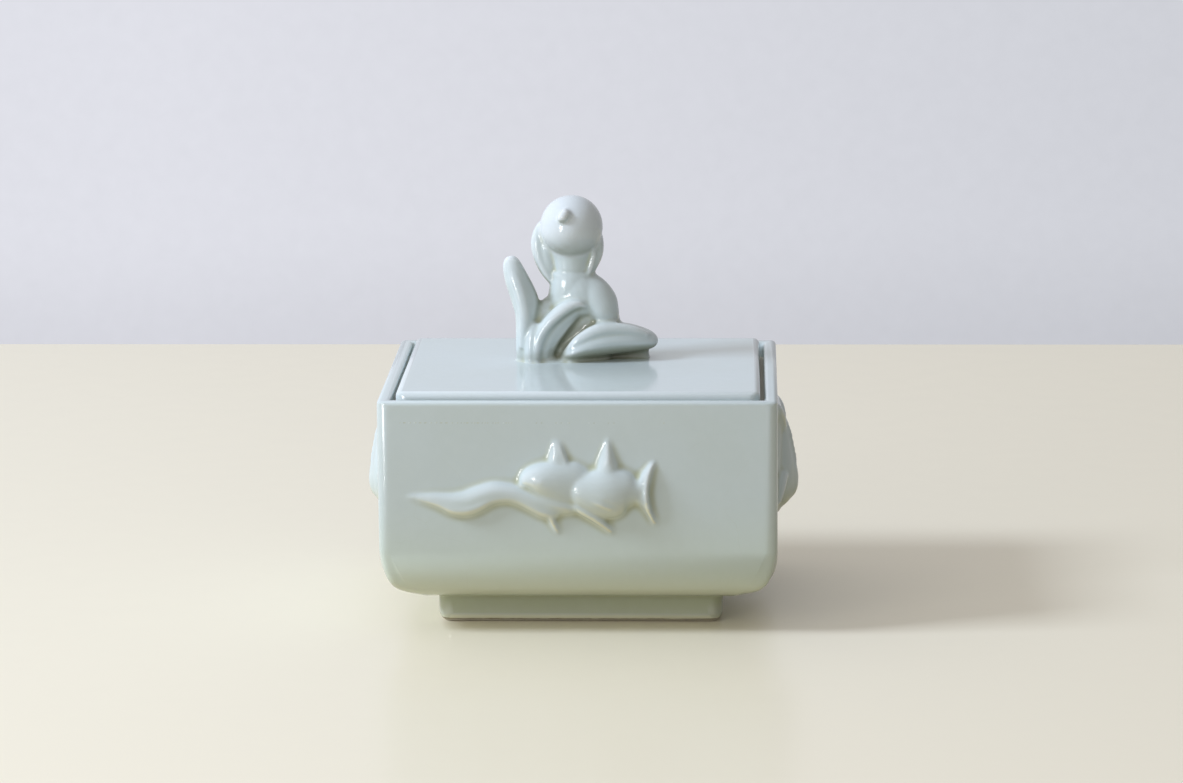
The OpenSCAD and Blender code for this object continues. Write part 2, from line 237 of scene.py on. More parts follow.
def setCamera(place):
    turn, down, roll = (math.radians(place[key]) for key in ("turn", "down", "roll"))
    ahead = Vector((math.sin(turn) * math.cos(down), math.cos(turn) * math.cos(down), -math.sin(down)))
    level = Vector((math.cos(turn), -math.sin(turn), 0))
    upright = level.cross(ahead)
    right = math.cos(roll) * level + math.sin(roll) * upright
    up = -math.sin(roll) * level + math.cos(roll) * upright
    data = bpy.data.cameras.new("Camera")
    data.lens = place["lens"]
    data.sensor_width = 36
    data.clip_start = 0.05
    data.clip_end = 20
    camera = bpy.data.objects.new("Camera", data)
    bpy.context.collection.objects.link(camera)
    pose = Matrix((right, up, -ahead)).transposed().to_4x4()
    pose.translation = Vector(place["spot"]) * mm
    camera.matrix_world = pose
    bpy.context.scene.camera = camera


setCamera(cameraPlace)
bpy.context.scene.view_settings.view_transform = "Standard"
print("camera set")


# shader maths: a Wire carries one output, and sums on it add the nodes

class Wire:
    def __init__(self, sheet, socket):
        self.sheet = sheet
        self.socket = socket

    def sum(self, kind, *others):
        return self.sheet.add("ShaderNodeMath", {"operation": kind}, [self, *others])

    def __add__(self, other):
        return self.sum("ADD", other)

    def __radd__(self, other):
        return self.sum("ADD", other)

    def __sub__(self, other):
        return self.sum("SUBTRACT", other)

    def __rsub__(self, other):
        return self.sheet.add("ShaderNodeMath", {"operation": "SUBTRACT"}, [other, self])

    def __mul__(self, other):
        return self.sum("MULTIPLY", other)

    def __rmul__(self, other):
        return self.sum("MULTIPLY", other)

    def __neg__(self):
        return self.sum("MULTIPLY", -1)

    def atLeast(self, other):
        return self.sum("MAXIMUM", other)

    def atMost(self, other):
        return self.sum("MINIMUM", other)

    def kept(self):  # held between 0 and 1
        return self.atLeast(0).atMost(1)

    def step(self, low, high):  # 0 below low, 1 above high, smooth between
        return self.sheet.add("ShaderNodeMapRange", {"interpolation_type": "SMOOTHSTEP"},
                              {"Value": self, "From Min": low, "From Max": high})


class Sheet:
    def __init__(self, tree):
        self.tree = tree
        tree.nodes.clear()

    def add(self, kind, settings=None, values=None, output=0):
        node = self.tree.nodes.new(kind)
        for key, value in (settings or {}).items():
            setattr(node, key, value)
        pairs = enumerate(values) if isinstance(values, (list, tuple)) else (values or {}).items()
        for key, value in pairs:
            socket = node.inputs[key]
            if isinstance(value, Wire):
                self.tree.links.new(value.socket, socket)
            elif hasattr(socket.default_value, "__len__"):
                size = len(socket.default_value)
                socket.default_value = (*value, 1)[:size]
            else:
                socket.default_value = value
        return Wire(self, node.outputs[output] if node.outputs else None)

    def seenRays(self):  # 1 for what the camera sees, also by reflection or through a piece
        rays = [self.add("ShaderNodeLightPath", None, None, name)
                for name in ("Is Camera Ray", "Is Glossy Ray", "Is Transmission Ray")]
        return rays[0].atLeast(rays[1]).atLeast(rays[2])

    def mixColour(self, factor, first, second, blend="MIX"):
        return self.add("ShaderNodeMix", {"data_type": "RGBA", "blend_type": blend},
                        {0: factor, 6: first, 7: second}, 2)

    def noise(self, place, size, detail):  # size of one blotch, in mm
        return self.add("ShaderNodeTexNoise", None,
                        {"Vector": place, "Scale": 1 / (size * mm), "Detail": detail})

    def attribute(self, name):
        return self.add("ShaderNodeAttribute", {"attribute_name": name}, None, 2)

    def along(self, place, axis):  # one coordinate of a place or direction
        return self.add("ShaderNodeSeparateXYZ", None, [place], axis)

    def grey(self, value):
        return self.add("ShaderNodeCombineXYZ", None, [value] * 3)


def newMaterial(name):
    material = bpy.data.materials.new(name)
    material.use_nodes = True
    return material, Sheet(material.node_tree)


def dress(obj, material):
    obj.data.materials.clear()
    obj.data.materials.append(material)


# glaze: pale where it is thin on edges, which also paints a highlight there; olive where it pools in
# hollows;
# painted shade where a form shelters it; painted table bounce, or painted shade on the knob, on faces that
# look down;
# a share is how much of a colour shows, and each pair of limits is where it starts and where it is full

celadon = {
    "colour": (0.600, 0.688, 0.703),
    "poolColour": (0.430, 0.455, 0.285),
    "poolLimits": (0.05, 1.2),
    "poolShare": 0.9,
    # pale edges: thinner glaze there, and a painted highlight on the edges
    "paleEdgeAndHighlightColour": (0.800, 0.850, 0.880),
    "thinLimits": (0.05, 1.0),
    "paleEdgeAndHighlightShare": 0.45,
    # painted shade where a form shelters the point
    "shadeColour": (0.300, 0.320, 0.250),
    "shadeLimits": (0.15, 0.55),
    "shadeShare": 0.8,
    # deeper painted shade in the deepest recesses
    "deepColour": (0.130, 0.125, 0.070),
    "deepLimits": (0.50, 0.85),
    "deepShare": 0.9,
    # greener towards the foot: glaze run down, and painted warm bounce from the table
    "lowRunAndBounceColour": (0.610, 0.695, 0.590),
    "lowWander": 9,
    "budColour": (0.690, 0.755, 0.800),
    "budLimits": (0.2, 1.2),  # outside the ball of the bud
    "budShare": 0.9,
    # painted warm bounce from the table on faces that look down
    "paintedTableBounceColour": (0.800, 0.830, 0.655),
    "paintedUndersideLimits": (0.1, 0.9),
    "paintedUndersideShare": 0.7,
    # painted lit line along lower edges, where the table's bounce catches them
    "paintedEdgeBounceColour": (0.840, 0.850, 0.660),
    "paintedEdgeBounceLimits": (0, 0.35),
    # brown round the resting face: clay browned in the fire, and painted contact shadow
    "burntAndContactShadowColour": (0.180, 0.130, 0.050),
    "burntAndContactShadowLimits": (0.5, 0.8),
    "bareBlur": 0.12,
    "bareRoughness": 0.5,
    "roughness": 0.13,
    "cloudSize": 24,
    "cloudContrast": 1.6,
    "cloudShare": 0.10,
    "fineSize": 3.1,
    "fineShare": 0.16,
    "waveSize": 16,
    "waveHeight": 0.05,
    "peelSize": 1.4,
    "peelHeight": 0.0012,
    "speckColour": (0.10, 0.08, 0.05),
    "speckSpacing": 9,
    "speckSize": 0.16,
    "speckChance": (0.38, 0.40),
    "speckShare": 0.75,
    "crazeSpacing": 17,
    "crazeWidth": 0.05,
    "crazeDepth": 0.003,
    "crazeBend": 6,
    "crazeLimits": (0.45, 0.62),
    "crazeShare": 0.14,
}

porcelain = {
    "colour": (0.760, 0.730, 0.640),
    "paleColour": (0.82, 0.79, 0.71),
    "cloudSize": 9,
    "gritColour": (0.52, 0.47, 0.38),
    "gritLimits": (0.62, 0.75),
    "gritShare": 0.25,
    "gritSize": 0.5,
    "gritHeight": 0.03,
    "roughness": 0.55,
}


def blend(first, second, share):
    return [(1 - share) * a + share * b for a, b in zip(first, second)]


def makeGlaze(name, bareBelow=None, lowFrom=None, paleBall=None, burntAndContactShadow=False, under="paintedTableBounceColour",
              thickGlazeAndShade=0, paleEdgeAndHighlight=celadon["paleEdgeAndHighlightShare"]):
    material, sheet = newMaterial(name)
    c = celadon
    place = sheet.add("ShaderNodeTexCoord", None, None, 3)
    pool = sheet.attribute("glazePool")
    cloud = sheet.noise(place, c["cloudSize"], 3.0)
    fine = sheet.noise(place, c["fineSize"], 3.0)
    hollow = (pool + (cloud - 0.5) * 0.10).step(*c["poolLimits"])
    ridge = (-pool).step(*c["thinLimits"])
    colour = c["colour"]
    if lowFrom is not None:  # the glaze has run down and is thicker and greener towards the foot, with painted warm bounce from the table there too
        rise = sheet.along(place, 2) + (cloud - 0.5) * (c["lowWander"] * mm)
        low = 1 - rise.step(lowFrom[0] * mm, lowFrom[1] * mm)
        colour = sheet.mixColour(low, colour, blend(c["lowRunAndBounceColour"], c["poolColour"], thickGlazeAndShade))
    if paleBall is not None:  # paler on the ball of the bud
        middle, radius = paleBall
        away = sheet.add("ShaderNodeVectorMath", {"operation": "DISTANCE"},
                         [place, [v * mm for v in middle]], 1)
        onBall = 1 - away.step(*((radius + v) * mm for v in c["budLimits"]))
        colour = sheet.mixColour(onBall * c["budShare"], colour, c["budColour"])
    colour = sheet.mixColour(hollow * c["poolShare"], colour, c["poolColour"])
    # pale on edges: thinner glaze, and a painted highlight
    colour = sheet.mixColour(ridge * paleEdgeAndHighlight, colour, c["paleEdgeAndHighlightColour"])
    # painted shade where a form shelters the point, darker still in deep recesses
    shelter = sheet.attribute("shelter")
    for kind in ("shade", "deep"):
        share = shelter.step(*c[kind + "Limits"]) * c[kind + "Share"]
        colour = sheet.mixColour(share, colour, c[kind + "Colour"])
    # painted table bounce, or painted shade on the knob, on faces that look down; then a painted lit line
    # on lower edges
    down = sheet.attribute("underside")
    colour = sheet.mixColour(down.step(*c["paintedUndersideLimits"]) * c["paintedUndersideShare"], colour, c[under])
    if under == "paintedTableBounceColour":
        colour = sheet.mixColour(ridge * down.step(*c["paintedEdgeBounceLimits"]), colour, c["paintedEdgeBounceColour"])
    patches = ((cloud - 0.5) * c["cloudContrast"] + 0.5).kept()
    colour = sheet.mixColour(patches * c["cloudShare"], colour, c["poolColour"])
    colour = sheet.mixColour((fine - 0.45).kept() * c["fineShare"], colour, c["paleEdgeAndHighlightColour"])

    swirl = sheet.add("ShaderNodeTexNoise", None, {"Vector": place, "Scale": 90}, 1)
    bent = sheet.add("ShaderNodeVectorMath", {"operation": "MULTIPLY_ADD"},
                     [swirl, [c["crazeBend"] * mm] * 3, place])
    seam = sheet.add("ShaderNodeTexVoronoi", {"feature": "DISTANCE_TO_EDGE"},
                     {"Vector": bent, "Scale": 1 / (c["crazeSpacing"] * mm)})
    craze = 1 - seam.step(0, c["crazeWidth"] / c["crazeSpacing"])
    share = craze * cloud.step(*c["crazeLimits"]) * c["crazeShare"]
    colour = sheet.mixColour(share, colour, c["poolColour"])

    grain = {"Vector": place, "Scale": 1 / (c["speckSpacing"] * mm)}
    near = sheet.add("ShaderNodeTexVoronoi", None, grain)
    chance = sheet.add("ShaderNodeTexWhiteNoise", {"noise_dimensions": "3D"},
                       {"Vector": sheet.add("ShaderNodeTexVoronoi", None, grain, 2)})
    speckEdge = c["speckSize"] / c["speckSpacing"]
    speck = (1 - near.step(speckEdge * 0.5, speckEdge)) * (1 - chance.step(*c["speckChance"]))
    colour = sheet.mixColour(speck * c["speckShare"], colour, c["speckColour"])

    roughness = c["roughness"] + (fine - 0.5) * 0.05 + speck * 0.1
    if bareBelow is not None:  # bare clay where the piece rests
        height = sheet.along(place, 2) + (fine - 0.5) * (0.4 * mm)
        bare = 1 - height.step((bareBelow - c["bareBlur"]) * mm, (bareBelow + c["bareBlur"]) * mm)
        colour = sheet.mixColour(bare, colour, porcelain["colour"])
        if burntAndContactShadow:  # browned by the fire all round the resting face, with painted contact shadow there too
            colour = sheet.mixColour(bare * (1 - down.step(*c["burntAndContactShadowLimits"])), colour, c["burntAndContactShadowColour"])
        roughness = roughness + bare * c["bareRoughness"]
    wave = sheet.noise(place, c["waveSize"], 1.0) * (c["waveHeight"] * mm)
    peel = sheet.noise(place, c["peelSize"], 1.0) * (c["peelHeight"] * mm)
    height = wave + peel - craze * (c["crazeDepth"] * mm)
    bump = sheet.add("ShaderNodeBump", None, {"Strength": 1.0, "Distance": 1.0, "Height": height})
    shader = sheet.add("ShaderNodeBsdfPrincipled", None,
                       {"Base Color": colour, "Roughness": roughness, "IOR": 1.5, "Normal": bump})
    sheet.add("ShaderNodeOutputMaterial", None, {"Surface": shader})
    return material


def makeBareClay(name):
    material, sheet = newMaterial(name)
    p = porcelain
    place = sheet.add("ShaderNodeTexCoord", None, None, 3)
    cloud = sheet.noise(place, p["cloudSize"], 3.0)
    grit = sheet.noise(place, p["gritSize"], 2.0)
    colour = sheet.mixColour(cloud, p["colour"], p["paleColour"])
    colour = sheet.mixColour(grit.step(*p["gritLimits"]) * p["gritShare"], colour, p["gritColour"])
    bump = sheet.add("ShaderNodeBump", None,
                     {"Strength": 0.5, "Distance": 1.0, "Height": grit * (p["gritHeight"] * mm)})
    shader = sheet.add("ShaderNodeBsdfPrincipled", None,
                       {"Base Color": colour, "Roughness": p["roughness"] + grit * 0.2, "Normal": bump})
    sheet.add("ShaderNodeOutputMaterial", None, {"Surface": shader})
    return material


def readAll(items, key, width, kind=float):
    values = np.empty(len(items) * width, dtype=kind)
    items.foreach_get(key, values)
    return values.reshape(-1, width)


def writeLayer(mesh, name, values):
    layer = mesh.attributes.new(name, "FLOAT", "POINT")
    layer.data.foreach_set("value", values)


def measureHollows(obj, passes, fullAt, above=-1):
    # how far each point lies in a hollow (+) or on an edge (-), and how far it faces down
    mesh = obj.data
    count = len(mesh.vertices)
    at = readAll(mesh.vertices, "co", 3) / mm
    facing = readAll(mesh.vertices, "normal", 3)
    a, b = readAll(mesh.edges, "vertices", 2, np.int32).T
    pull = 1 / np.maximum(np.linalg.norm(at[a] - at[b], axis=1), 0.05)
    total = np.bincount(a, pull, count) + np.bincount(b, pull, count)
    total = np.maximum(total, 1e-9)
    soft = at.copy()
    for _ in range(passes):
        for axis in range(3):
            drawn = (np.bincount(a, pull * soft[b, axis], count)
                     + np.bincount(b, pull * soft[a, axis], count))
            soft[:, axis] = 0.5 * soft[:, axis] + 0.5 * drawn / total
    depth = ((soft - at) * facing).sum(axis=1) * (at[:, 2] > above)
    writeLayer(mesh, "glazePool", np.clip(depth / fullAt, -1, 1))
    writeLayer(mesh, "underside", np.clip(-facing[:, 2], 0, 1))


# the shelter measure sets where shade is painted into the glaze
def measureShelter(obj, reach, rays):  # how much of its surroundings each point can't see
    mesh = obj.data
    tree = BVHTree.FromPolygons([v.co for v in mesh.vertices], [f.vertices for f in mesh.polygons])
    turn = math.pi * (3 - math.sqrt(5))
    spread = [Vector((math.sqrt(r) * math.cos(i * turn), math.sqrt(r) * math.sin(i * turn),
                      math.sqrt(1 - r))) for i, r in ((i, (i + 0.5) / rays) for i in range(rays))]
    values = np.zeros(len(mesh.vertices))
    for vertex in mesh.vertices:
        facing = vertex.normal
        start = vertex.co + facing * (0.05 * mm)
        turned = facing.to_track_quat("Z", "Y")
        values[vertex.index] = sum(
            tree.ray_cast(start, turned @ way, reach * mm)[0] is not None for way in spread) / rays
    ends = readAll(mesh.edges, "vertices", 2, np.int32)
    a, b = ends.T
    links = np.maximum(np.bincount(ends.ravel(), minlength=len(values)), 1)
    for _ in range(4):  # evens out the steps between the few rays
        drawn = np.bincount(a, values[b], len(values)) + np.bincount(b, values[a], len(values))
        values = 0.5 * values + 0.5 * drawn / links
    writeLayer(mesh, "shelter", values)


# the stage: a cream table top that ends in front of a pale lilac wall, lit softly and from the left; the
# wall seen behind has light and shade painted on it

stage = {
    "tableColour": (0.860, 0.808, 0.650),
    "tableRoughness": 0.22,
    "tableEdge": 369,
    "tableSpan": 3000,
    "tableThick": 30,
    "cloudColour": (0.80, 0.75, 0.60),
    "cloudShare": 0.10,
    "cloudSize": 160,
    "fineSize": 11,
    "waveSize": 60,
    "waveHeight": 0.05,
    # painted light on the wall: lighter on the left, where the lamps are, darker on the right
    "wallLeft": (0.745, 0.753, 0.815),
    "wallRight": (0.605, 0.618, 0.665),
    "wallSpread": 3.6,
    "wallFoot": 0.90,  # painted shade: the wall darkens towards the table
    "footLimits": (-0.200, -0.165),
    "grainScale": 260,
    "grainShare": 0.05,
    "skyMiddle": 0.37,
    "skyTop": 0.24,
    "skyAcross": 0.34,
    "skyColour": (1.04, 1.0, 0.98),
    "bounceTint": (0.64, 0.62, 0.55),  # the real table is smaller, so it throws less light up
    "keySpot": (-1436, -412, 1158),
    "keySize": (470, 400),
    "keyPower": 23,
    "keyColour": (0.88, 0.98, 1.18),
    "fillSpot": (-520, -640, 330),
    "fillSize": (360, 360),
    "fillPower": 0.9,
    "fillColour": (1.0, 1.0, 0.98),
    "windowSpot": (-1000, -1320, 130),
    "windowSize": (420, 520),
    "windowPower": 10,
    "windowColour": (1.0, 1.0, 1.0),
}


def addLamp(name, s):
    data = bpy.data.lights.new(name, "AREA")
    data.shape = "RECTANGLE"
    data.size, data.size_y = (side * mm for side in s[name + "Size"])
    data.energy = s[name + "Power"]
    data.color = s[name + "Colour"]
    lamp = bpy.data.objects.new(name, data)
    bpy.context.collection.objects.link(lamp)
    lamp.location = Vector(s[name + "Spot"]) * mm
    lamp.rotation_euler = (Vector((0, 0, 0.05)) - lamp.location).to_track_quat("-Z", "Y").to_euler()
    return lamp


def setStage(s):
    depth = s["tableSpan"] + s["tableEdge"]
    table = addBlock("tableTop", (2 * s["tableSpan"], depth, s["tableThick"]),
                     (0, s["tableEdge"] - depth / 2, -s["tableThick"] / 2))
    applyModifier(table, "BEVEL", width=1 * mm, segments=3)
    material, sheet = newMaterial("creamLacquer")
    place = sheet.add("ShaderNodeTexCoord", None, None, 3)
    cloud = sheet.noise(place, s["cloudSize"], 3.0)
    fine = sheet.noise(place, s["fineSize"], 3.0)
    colour = sheet.mixColour((cloud - 0.3).kept() * s["cloudShare"], s["tableColour"], s["cloudColour"])
    seen = sheet.seenRays()
    colour = sheet.mixColour(seen, sheet.mixColour(1.0, colour, s["bounceTint"], "MULTIPLY"), colour)
    wave = sheet.noise(place, s["waveSize"], 1.0) * (s["waveHeight"] * mm)
    bump = sheet.add("ShaderNodeBump", None, {"Strength": 0.6, "Distance": 1.0, "Height": wave})
    shader = sheet.add("ShaderNodeBsdfPrincipled", None,
                       {"Base Color": colour, "Roughness": s["tableRoughness"] + fine * 0.06, "IOR": 1.3,
                        "Normal": bump})
    sheet.add("ShaderNodeOutputMaterial", None, {"Surface": shader})
    dress(table, material)

    world = bpy.data.worlds.new("softRoom")
    bpy.context.scene.world = world
    world.use_nodes = True
    sheet = Sheet(world.node_tree)
    direction = sheet.add("ShaderNodeTexCoord", None, None, 0)
    across = sheet.along(direction, 0)
    upward = sheet.along(direction, 2)
    # painted light and shade on the wall: lighter left, darker right, and painted shade at its foot
    wall = sheet.mixColour((across * s["wallSpread"] + 0.5).kept(), s["wallLeft"], s["wallRight"])
    low = 1 - upward.step(*s["footLimits"])
    grain = sheet.add("ShaderNodeTexNoise", None,
                      {"Vector": direction, "Scale": s["grainScale"], "Detail": 3.0})
    shade = (1 - low * (1 - s["wallFoot"])) * (1 + (grain - 0.5) * s["grainShare"])
    wall = sheet.mixColour(1.0, wall, sheet.grey(shade), "MULTIPLY")
    seen = sheet.seenRays()
    strength = s["skyMiddle"] + upward.kept() * s["skyTop"] - across * s["skyAcross"]
    light = sheet.mixColour(1.0, s["skyColour"], sheet.grey(strength), "MULTIPLY")
    glow = sheet.mixColour(seen, light, wall)
    shader = sheet.add("ShaderNodeBackground", None, {"Color": glow, "Strength": 1.0})
    sheet.add("ShaderNodeOutputWorld", None, {"Surface": shader})
    addLamp("key", s).visible_glossy = False
    addLamp("fill", s).visible_glossy = False
    addLamp("window", s).visible_diffuse = False


setStage(stage)
print("stage set")


# box

box = {
    "width": 110,
    "depth": 88,
    "underside": 8.8,
    "rim": 66.3,
    "wall": 3.7,
    "floor": 4.5,
    "bottomRound": 15.2,
    "calmBelow": 27,  # no hollows are measured below this height, where nothing stands out
    "bottomProfile": 0.575,  # above a half, the bend eases into the wall
    "edgeRound": 3.3,
    "rimRound": 1.2,
    "innerRound": 1.8,
    "segments": 30,
    "flats": (150, 0.8),  # the smallest flat face in mm2, and its border
    "hollows": (26, 0.22),  # passes, and the depth that counts as full
    "lowFrom": (4, 44),
}

relief = {
    "middle": 42,  # height of the middle of the relief
    "slab": 2.4,
    "slabOver": 3,
    "region": (-48.6, 25.4, 25.2, 60.6),  # left, right, bottom and top of the remodelled part of the wall
    "border": 0.65,  # so near to the region's border, the panel is laid into the wall
    "voxel": 0.36,
    "fillet": 0.45,
    "softness": 8,
}

# relief rows: across, up from the middle, half width, height, how far the middle of the roll is sunk
reliefForms = {
    "streamBack": [
        [-46.8, -2.3, 0.6, 0.2, 1.0], [-43.0, -2.4, 1.6, 0.7, 1.4], [-39.0, -2.8, 2.3, 1.2, 1.5],
        [-34.6, -3.6, 3.2, 1.7, 1.5], [-30.6, -3.5, 3.7, 2.0, 1.5], [-27.0, -2.2, 3.7, 2.2, 1.5],
        [-23.0, -0.8, 3.4, 2.3, 1.5], [-19.0, -0.9, 3.2, 2.3, 1.5], [-15.0, -1.9, 3.4, 2.3, 1.5],
        [-11.0, -3.2, 3.8, 2.4, 1.5], [-6.0, -4.6, 3.6, 2.2, 1.3],
    ],
    "streamCrest": [
        [-44.4, -2.9, 0.5, 0.4, 0.1], [-40.4, -3.4, 1.1, 1.1, 0.1], [-37.0, -4.2, 1.6, 1.5, 0.0],
        [-34.0, -5.4, 2.0, 1.9, 0.0], [-30.2, -5.5, 2.2, 2.1, 0.0], [-27.0, -4.3, 2.2, 2.2, 0.0],
        [-24.0, -2.6, 2.1, 2.2, 0.0], [-21.0, -1.9, 2.1, 2.2, 0.0], [-18.0, -1.9, 2.1, 2.2, 0.0],
        [-15.0, -2.9, 2.1, 2.2, 0.0], [-12.0, -4.5, 2.1, 2.2, 0.0], [-8.6, -6.2, 2.1, 2.1, 0.0],
        [-5.2, -6.4, 1.4, 1.6, 0.0],
    ],
    "farHead": [
        [-15.9, 1.5, 0.5, 0.6, 1.0], [-15.0, 1.9, 1.8, 1.7, 1.1], [-13.4, 2.6, 3.4, 2.9, 1.2],
        [-11.2, 2.9, 4.6, 3.8, 1.2], [-8.4, 2.6, 5.8, 4.0, 1.2], [-5.0, 1.8, 6.8, 3.7, 1.2],
        [-1.4, 1.0, 7.2, 3.2, 1.2], [2.0, 0.4, 6.0, 2.6, 1.0],
    ],
    "farJaw": [
        [-14.6, 0.6, 0.7, 1.0, 0.6], [-12.4, -0.6, 1.8, 1.9, 0.8], [-9.4, -2.2, 2.8, 2.5, 0.9],
        [-6.0, -3.6, 3.4, 2.6, 0.9], [-2.4, -4.4, 3.0, 2.3, 0.8], [0.6, -4.4, 2.0, 1.8, 0.8],
    ],
    "farFin": [
        [-5.0, 4.6, 5.4, 2.2, 3.0], [-5.4, 7.6, 4.0, 1.7, 2.8], [-5.5, 9.8, 3.0, 1.3, 2.4],
        [-5.8, 11.8, 1.9, 0.8, 1.8], [-6.0, 13.6, 1.0, 0.3, 1.4],
    ],
    "farFinEdge": [
        [-2.8, 6.8, 0.9, 1.8, 0.2], [-3.8, 9.2, 0.9, 1.4, 0.2], [-4.6, 11.4, 0.8, 1.0, 0.2],
        [-5.3, 13.2, 0.6, 0.4, 0.1],
    ],
    "farBellyFin": [
        [-7.6, -7.0, 1.3, 1.8, 0.2], [-6.9, -8.8, 1.0, 1.5, 0.2], [-6.0, -10.8, 0.7, 1.0, 0.2],
        [-5.2, -12.4, 0.35, 0.5, 0.2],
    ],
    "nearBody": [
        [-3.6, 0.4, 1.0, 1.0, 1.0], [-2.6, 0.4, 3.2, 2.4, 1.2], [-0.4, 0.2, 5.0, 3.6, 1.2],
        [2.6, -0.5, 6.3, 4.2, 1.2], [6.4, -0.9, 7.5, 4.6, 1.2], [10.0, -0.6, 7.7, 4.4, 1.2],
        [13.0, -0.2, 6.2, 3.7, 1.2], [15.4, -0.4, 4.4, 2.8, 1.1], [17.6, -0.6, 3.2, 2.2, 0.8],
    ],
    "nearEdge": [
        [-2.4, -2.4, 0.8, 1.6, 0.2], [-0.5, -4.1, 1.2, 2.5, 0.2], [1.2, -5.6, 1.5, 2.8, 0.2],
        [4.2, -7.4, 1.5, 2.6, 0.2], [7.0, -9.7, 1.1, 1.9, 0.2], [9.4, -12.0, 0.5, 0.8, 0.2],
    ],
    "nearFin": [
        [8.4, 5.6, 4.0, 2.6, 2.6], [8.4, 8.2, 3.1, 1.8, 2.4], [8.4, 10.4, 2.3, 1.2, 2.0],
        [8.4, 12.2, 1.5, 0.7, 1.6], [8.3, 13.8, 0.8, 0.3, 1.0],
    ],
    "nearFinEdge": [
        [8.5, 7.6, 1.0, 2.3, 0.4], [8.5, 9.8, 1.0, 1.6, 0.4], [8.4, 11.8, 0.8, 1.0, 0.3],
        [8.3, 13.4, 0.5, 0.5, 0.2],
    ],
    "tailUp": [
        [16.8, -0.6, 2.8, 2.3, 0.8], [18.2, 1.6, 2.2, 2.2, 0.8], [19.3, 4.2, 1.6, 1.8, 0.6],
        [20.6, 6.9, 0.8, 0.9, 0.4],
    ],
    "tailDown": [
        [16.8, -1.4, 2.6, 2.3, 0.8], [18.2, -3.4, 1.7, 2.0, 0.6], [19.7, -6.2, 1.0, 1.7, 0.3],
        [21.2, -9.4, 0.5, 0.8, 0.2],
    ],
    "tailEdge": [
        [20.9, 7.4, 0.4, 0.9, 0.1], [19.6, 3.9, 0.8, 2.2, 0.1], [19.0, 0.3, 0.9, 2.8, 0.1],
        [19.0, -2.3, 0.9, 2.8, 0.1], [19.7, -5.9, 0.8, 2.2, 0.1], [21.3, -9.6, 0.4, 0.9, 0.1],
    ],
    "farEye": [
        [-10.9, 2.9, 0.7, 3.8, 0.0], [-9.8, 2.9, 1.1, 4.3, 0.0], [-8.7, 2.9, 0.7, 3.9, 0.0],
    ],
    "nearSideFinA": [
        [4.0, -2.4, 0.4, 4.4, 0.0], [6.4, -3.6, 0.6, 4.75, 0.0], [9.4, -5.2, 0.4, 4.2, 0.0],
    ],
    "nearSideFinB": [
        [4.6, -0.6, 0.4, 4.5, 0.0], [7.6, -1.6, 0.6, 4.85, 0.0], [10.8, -3.2, 0.4, 4.2, 0.0],
    ],
}

lug = {
    "middle": 40,
    "slab": 2.4,
    "slabOver": 3,
    "region": (-16.4, 16.4, 25.2, 60.8),
    "border": 0.65,
    "voxel": 0.36,
    "fillet": 0.4,
    "softness": 6,
}

# lug rows: in the same terms, across and up from the middle of the lug
lugForms = {
    "plate": [
        [0, -14.6, 2.6, 0.7, 0], [0, -13.2, 5.6, 1.3, 0], [0, -9.6, 8.2, 1.6, 0], [0, -4.0, 9.0, 1.7, 0],
        [0, 3.0, 7.6, 1.7, 0], [0, 9.0, 5.6, 1.7, 0], [0, 13.4, 6.2, 1.6, 0], [0, 16.2, 7.6, 1.2, 0],
        [0, 17.8, 7.2, 0.5, 0],
    ],
    "body": [
        [0, -13.6, 2.4, 1.0, 0], [0, -12.0, 4.6, 3.0, 0], [0, -9.8, 6.4, 4.6, 0], [0, -6.0, 7.3, 5.5, 0],
        [0, -1.6, 6.8, 5.3, 0], [0, 3.2, 5.4, 4.5, 0], [0, 8.0, 3.8, 3.6, 0], [0, 12.0, 2.8, 2.8, 0],
        [0, 14.4, 2.2, 1.8, 0],
    ],
    "cheek": [
        [0, -11.6, 1.6, 3.0, 0], [0, -10.2, 3.4, 4.8, 0], [0, -8.0, 4.6, 6.0, 0], [0, -4.8, 4.9, 6.3, 0],
        [0, -1.6, 4.2, 5.9, 0], [0, 2.2, 2.8, 5.0, 0], [0, 6.6, 1.6, 4.1, 0],
    ],
    "tailLeft": [
        [1.6, 10.4, 1.8, 2.9, 0], [3.2, 13.2, 1.9, 2.7, 0], [4.9, 15.6, 1.7, 2.0, 0],
        [6.2, 17.2, 0.9, 1.0, 0],
    ],
    "tailRight": [
        [-1.6, 10.4, 1.8, 2.9, 0], [-3.2, 13.2, 1.9, 2.7, 0], [-4.9, 15.6, 1.7, 2.0, 0],
        [-6.2, 17.2, 0.9, 1.0, 0],
    ],
    "finLeft": [
        [6.0, -2.6, 1.6, 3.4, 0], [8.6, -4.6, 1.7, 2.9, 0], [11.2, -7.2, 1.2, 2.1, 0],
        [12.8, -10.0, 0.5, 1.1, 0],
    ],
    "finRight": [
        [-6.0, -2.6, 1.6, 3.4, 0], [-8.6, -4.6, 1.7, 2.9, 0], [-11.2, -7.2, 1.2, 2.1, 0],
        [-12.8, -10.0, 0.5, 1.1, 0],
    ],
    "spine": [
        [0, 13.6, 0.6, 2.4, 0], [0, 9.0, 0.8, 4.3, 0], [0, 4.0, 0.8, 5.4, 0], [0, 0.0, 0.7, 6.1, 0],
    ],
}


